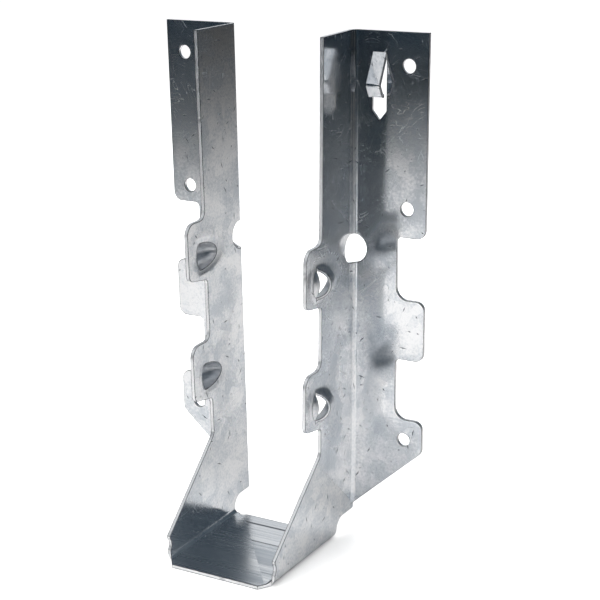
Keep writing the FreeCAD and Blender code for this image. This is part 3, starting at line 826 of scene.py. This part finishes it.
@dataclass(frozen=True)
class Lamp:
    """One soft lamp with a rectangular front.

    Attributes:
        name: Name of the lamp.
        place: Where its middle is, in metres.
        target: The place that it faces.
        size: Width and height of its front.
        brightness: How bright its front looks, where 1 is white.
        lights_floor: Whether it lights what is matt, such as the floor. Otherwise it only shows in the sheet's sheen.
    """

    name: str
    place: Point
    target: Point
    size: Span
    brightness: float
    lights_floor: bool = False

    def hang(self) -> None:
        """Make the lamp, turned towards its target."""
        lamp = bpy.data.lights.new(self.name, "AREA")
        lamp.shape = "RECTANGLE"
        lamp.size, lamp.size_y = self.size
        lamp.energy = self.brightness * math.pi * self.size[0] * self.size[1]
        holder = bpy.data.objects.new(self.name, lamp)
        bpy.context.scene.collection.objects.link(holder)
        holder.location = self.place
        holder.rotation_euler = (Vector(self.target) - Vector(self.place)).to_track_quat("-Z", "Y").to_euler()
        holder.visible_camera = False
        holder.visible_diffuse = self.lights_floor
        holder.visible_glossy = not self.lights_floor


@dataclass
class Studio:
    """The paper that the hanger stands on, the dim room around it, and the lamps.

    Attributes:
        paper: Left front and right back corner of the paper.
        paper_drop: How far it lies below the hanger's seat, so that the two don't meet.
        paper_colour: Colour of the paper.
        paper_roughness: Roughness of the paper.
        paper_gloss: How much it shines.
        near_lift: How much the camera sees the paper glow beside the hanger.
        clear: Distances from the hanger between which the paper turns to plain white for the camera.
        shade_azimuth: Direction from the hanger of the painted shade that stands for the studio's dark gear, in
            degrees from the back.
        shade_start: Distances from the hanger between which the painted shade begins on the floor, as the sheen shows
            it.
        shade_side: Distances to the right of its direction between which it does so.
        shade_end: Distances there between which it clears again.
        shade_depth: How much of the floor's brightness the painted shade takes away.
        glow_centre: Middle of the painted pool of light on the floor, as the sheen shows it.
        glow_front: Distances in front of the hanger between which that part begins to have an end.
        glow_reach: Distances from its middle between which the painted light on the floor falls off into the dim room.
        glow_fall: How far it falls off.
        painted_far_colour: Colour of the painted shade that it falls off to.
        left_reach: Distances to the left between which that colour changes.
        painted_left_colour: Colour of the painted shade that it changes to.
        room_half_width: Half the width and half the depth of the room.
        room_height: Height of the room.
        room_drop: How far its floor lies below the hanger.
        room_span: Places along the depth between which its colour changes.
        front_colour: Colour of the room in front, and of the painted shade on the paper.
        back_colour: Colour of the room at the back.
        dim_colour: Colour of what lies outside, for light that comes off matt things.
        lamps: The lamps.
    """

    paper: tuple[Span, Span] = ((-2.0, -1.15), (2.0, 2.15))
    paper_drop: float = 0.1 * MILLIMETRE
    paper_colour: Colour = (0.9, 0.9, 0.9, 1.0)
    paper_roughness: float = 0.9
    paper_gloss: float = 0.1
    near_lift: float = 0.42
    clear: Span = (0.036, 0.070)
    shade_azimuth: float = 153.0
    shade_start: Span = (0.17, 0.36)
    shade_side: Span = (-0.04, 0.02)
    shade_end: Span = (0.08, 0.12)
    shade_depth: float = 0.9
    glow_centre: Point = (-0.04, 0.0, 0.0)
    glow_front: Span = (-0.05, 0.15)
    glow_reach: Span = (0.42, 0.84)
    glow_fall: float = 0.85
    painted_far_colour: Colour = (0.03, 0.07, 0.10, 1.0)
    left_reach: Span = (0.42, 0.62)
    painted_left_colour: Colour = (0.24, 0.29, 0.34, 1.0)
    room_half_width: float = 2.2
    room_height: float = 2.4
    room_drop: float = 2.0 * MILLIMETRE
    room_span: Span = (-1.2, 1.2)
    front_colour: Colour = (0.018, 0.034, 0.050, 1.0)
    back_colour: Colour = (0.085, 0.108, 0.130, 1.0)
    dim_colour: Colour = (0.05, 0.05, 0.05, 1.0)
    lamps: tuple[Lamp, ...] = (
        Lamp("floor_front", (-0.04, -0.25, 0.47), (-0.04, -0.25, 0.0), (0.4, 0.4), 5.8, lights_floor=True),
        Lamp("floor_back", (-0.05, 0.48, 0.47), (-0.05, 0.48, 0.0), (0.4, 0.4), 5.0, lights_floor=True),
        Lamp("ceiling", (-0.05, -0.1, 1.1), (0.0, 0.0, 0.0), (0.9, 0.7), 1.3),
        Lamp("back_left", (-0.64, 1.07, 0.64), (0.0, 0.0, 0.0), (1.0, 0.6), 0.72),
        Lamp("front_left", (-0.62, -0.68, 0.80), (0.0, 0.0, 0.0), (1.0, 1.0), 0.72),
        Lamp("front_right", (0.52, -0.71, 0.82), (0.0, 0.0, 0.0), (0.5, 0.5), 0.9),
    )

    def build(self) -> None:
        """Build the paper, the room, the white behind them and the lamps."""
        self._lay_paper()
        self._raise_room()
        self._light_world()
        for lamp in self.lamps:
            lamp.hang()
        log.info("studio has %d lamps", len(self.lamps))

    def _lay_paper(self) -> None:
        """Lay the pale floor, which is plain white to the camera except beside the hanger."""
        (left, front), (right, back) = self.paper
        select_only(None)
        bpy.ops.mesh.primitive_plane_add(size=1.0)
        paper = bpy.context.active_object
        paper.name = "floor_paper"
        paper.data.transform(Matrix.Diagonal((right - left, back - front, 1.0, 1.0)))
        paper.data.transform(Matrix.Translation(((left + right) / 2, (front + back) / 2, -self.paper_drop)))
        material, bench = new_material("floor_paper")
        path = bench.add("ShaderNodeLightPath").outputs
        place = bench.add("ShaderNodeTexCoord").outputs["Object"]
        glow = bench.ramp(bench.measure("LENGTH", place), *self.clear, self.near_lift, 1.0)
        # painted shade on the paper, seen only in reflections
        colour = self._paint_reflected_gear_shade(bench, place, path["Is Glossy Ray"])
        # painted falloff of the floor's light, seen only in reflections
        colour = self._paint_reflected_falloff(bench, place, path["Is Glossy Ray"], colour)
        inputs = {
            "Base Color": colour, "Roughness": self.paper_roughness, "Specular IOR Level": self.paper_gloss,
            "Emission Color": WHITE, "Emission Strength": bench.math("MULTIPLY", glow, path["Is Camera Ray"]),
        }
        shader = bench.add("ShaderNodeBsdfPrincipled", inputs)
        bench.add("ShaderNodeOutputMaterial", {"Surface": shader.outputs[0]})
        paper.data.materials.append(material)

    def _paint_reflected_gear_shade(self, bench: NodeBench, place: Socket, in_sheen: Socket) -> Socket:
        """Paint a shade on the paper, seen only in the sheen, that stands for the studio's dark gear hiding it.

        Args:
            bench: The bench of the paper's material.
            place: The place on the paper.
            in_sheen: Whether a sheen shows it.

        Returns:
            The colour of the paper, with the painted shade.
        """
        turn = math.radians(self.shade_azimuth)
        ahead = self._along(bench, place, (math.sin(turn), math.cos(turn), 0.0))
        aside = self._along(bench, place, (-math.cos(turn), math.sin(turn), 0.0))
        starts, ends = bench.ramp(aside, *self.shade_side), bench.ramp(aside, *self.shade_end, 1.0, 0.0)
        across = bench.math("MULTIPLY", starts, ends)
        shade = bench.math("MULTIPLY", bench.ramp(ahead, *self.shade_start), across)
        shade = bench.math("MULTIPLY", bench.math("MULTIPLY", shade, self.shade_depth), in_sheen)
        # painted shade: the paper turns towards the room's dark front colour, for reflections only
        return bench.blend(shade, self.paper_colour, self.front_colour)

    def _paint_reflected_falloff(self, bench: NodeBench, place: Socket, in_sheen: Socket, colour: Socket) -> Socket:
        """Paint the paper's light falling off into the dim room, seen only in the sheen and in front of the hanger.

        Args:
            bench: The bench of the paper's material.
            place: The place on the paper.
            in_sheen: Whether a sheen shows it.
            colour: The colour of the paper before that.

        Returns:
            The colour of the paper, with the painted falloff.
        """
        outward = bench.measure("DISTANCE", place, self.glow_centre)
        before = bench.ramp(self._along(bench, place, (0.0, -1.0, 0.0)), *self.glow_front)
        far = bench.math("MULTIPLY", bench.ramp(outward, *self.glow_reach), in_sheen)
        far = bench.math("MULTIPLY", far, before)
        leftward = bench.ramp(self._along(bench, place, (-1.0, 0.0, 0.0)), *self.left_reach)
        edge = bench.blend(leftward, self.painted_far_colour, self.painted_left_colour)
        # painted shade: the floor's light falls off towards the far colours, for reflections only
        return bench.blend(bench.math("MULTIPLY", far, self.glow_fall), colour, edge)

    @staticmethod
    def _along(bench: NodeBench, place: Socket, direction: Point) -> Socket:
        """How far a place lies along a level direction."""
        return bench.measure("DOT_PRODUCT", place, direction)

    def _raise_room(self) -> None:
        """Put dim walls, ceiling and bare floor around the paper, which only reflections show."""
        width = 2 * self.room_half_width
        select_only(None)
        bpy.ops.mesh.primitive_cube_add(size=1.0)
        room = bpy.context.active_object
        room.name = "room_walls"
        room.data.transform(Matrix.Diagonal((width, width, self.room_height, 1.0)))
        room.data.transform(Matrix.Translation((0.0, 0.0, self.room_height / 2 - self.room_drop)))
        material, bench = new_material("room_walls")
        place = bench.add("ShaderNodeTexCoord").outputs["Object"]
        depth = bench.ramp(self._along(bench, place, (0.0, 1.0, 0.0)), *self.room_span)
        colour = bench.blend(depth, self.front_colour, self.back_colour)
        glow = bench.add("ShaderNodeEmission", {"Color": colour, "Strength": 1.0})
        bench.add("ShaderNodeOutputMaterial", {"Surface": glow.outputs[0]})
        room.data.materials.append(material)
        room.visible_camera = False
        room.visible_diffuse = False

    def _light_world(self) -> None:
        """Make the world white for the camera, beyond the paper's far edge."""
        world = bpy.data.worlds.new("backdrop")
        bpy.context.scene.world = world
        world.use_nodes = True
        bench = NodeBench(world.node_tree)
        path = bench.add("ShaderNodeLightPath").outputs
        dim = bench.add("ShaderNodeBackground", {"Color": self.dim_colour, "Strength": 1.0})
        white = bench.add("ShaderNodeBackground", {"Color": WHITE, "Strength": 1.0})
        seen = bench.math("MAXIMUM", path["Is Camera Ray"], path["Is Glossy Ray"])
        seen = bench.math("MAXIMUM", seen, path["Is Transmission Ray"])
        mix = bench.add("ShaderNodeMixShader", {0: seen, 1: dim.outputs[0], 2: white.outputs[0]})
        bench.add("ShaderNodeOutputWorld", {"Surface": mix.outputs[0]})


@dataclass
class StudioCamera:
    """The camera of the photograph.

    Attributes:
        place: Where it stands, in metres.
        azimuth: Its turn to the left of the hanger's depth, in radians.
        drop: How far it looks down, in radians.
        roll: Its roll, in radians.
        focal_pixels: Its focal length in pixels of the picture.
        nearest: The nearest distance that it shows, in metres.
    """

    place: Point = (0.239146, -0.393998, 0.222912)
    azimuth: float = 0.5141
    drop: float = 0.2913
    roll: float = -0.0118
    focal_pixels: float = 1515.55
    nearest: float = 0.01

    def build(self) -> bpy.types.Object:
        """Set up the camera, and make it the scene's camera.

        Returns:
            The camera.
        """
        ahead = Vector((
            -math.sin(self.azimuth) * math.cos(self.drop),
            math.cos(self.azimuth) * math.cos(self.drop),
            -math.sin(self.drop),
        ))
        level = Vector((math.cos(self.azimuth), math.sin(self.azimuth), 0.0))
        above = level.cross(ahead)
        right = level * math.cos(self.roll) + above * math.sin(self.roll)
        up = above * math.cos(self.roll) - level * math.sin(self.roll)
        data = bpy.data.cameras.new("studio_camera")
        data.sensor_width = SENSOR_WIDTH
        data.lens = self.focal_pixels * SENSOR_WIDTH / IMAGE_SIZE
        data.clip_start = self.nearest
        camera = bpy.data.objects.new("studio_camera", data)
        bpy.context.scene.collection.objects.link(camera)
        turn = Matrix((right, up, -ahead)).transposed().to_4x4()
        camera.matrix_world = Matrix.Translation(self.place) @ turn
        bpy.context.scene.camera = camera
        log.info("%s has a %.1f mm lens", camera.name, data.lens)
        return camera


def main() -> None:
    """Build the scene in order: finishes, hanger, studio and camera."""
    logging.basicConfig(level=logging.INFO, format="%(name)s: %(message)s")
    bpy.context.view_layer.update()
    groups = (
        eased_edge(), zinc_bloom(), handling_marks(), hairlines(), rolled_grain(), drawn_metal(HangerSheet()),
    )
    patterns = {group.name: group for group in groups}
    finishes = [GalvanisedFinish().build(patterns), ShearedFinish().build(patterns)]
    HangerSheet(finishes=finishes).build()
    Studio().build()
    StudioCamera().build()
    bpy.context.scene.view_settings.view_transform = "Standard"


if __name__ == "__main__":
    main()
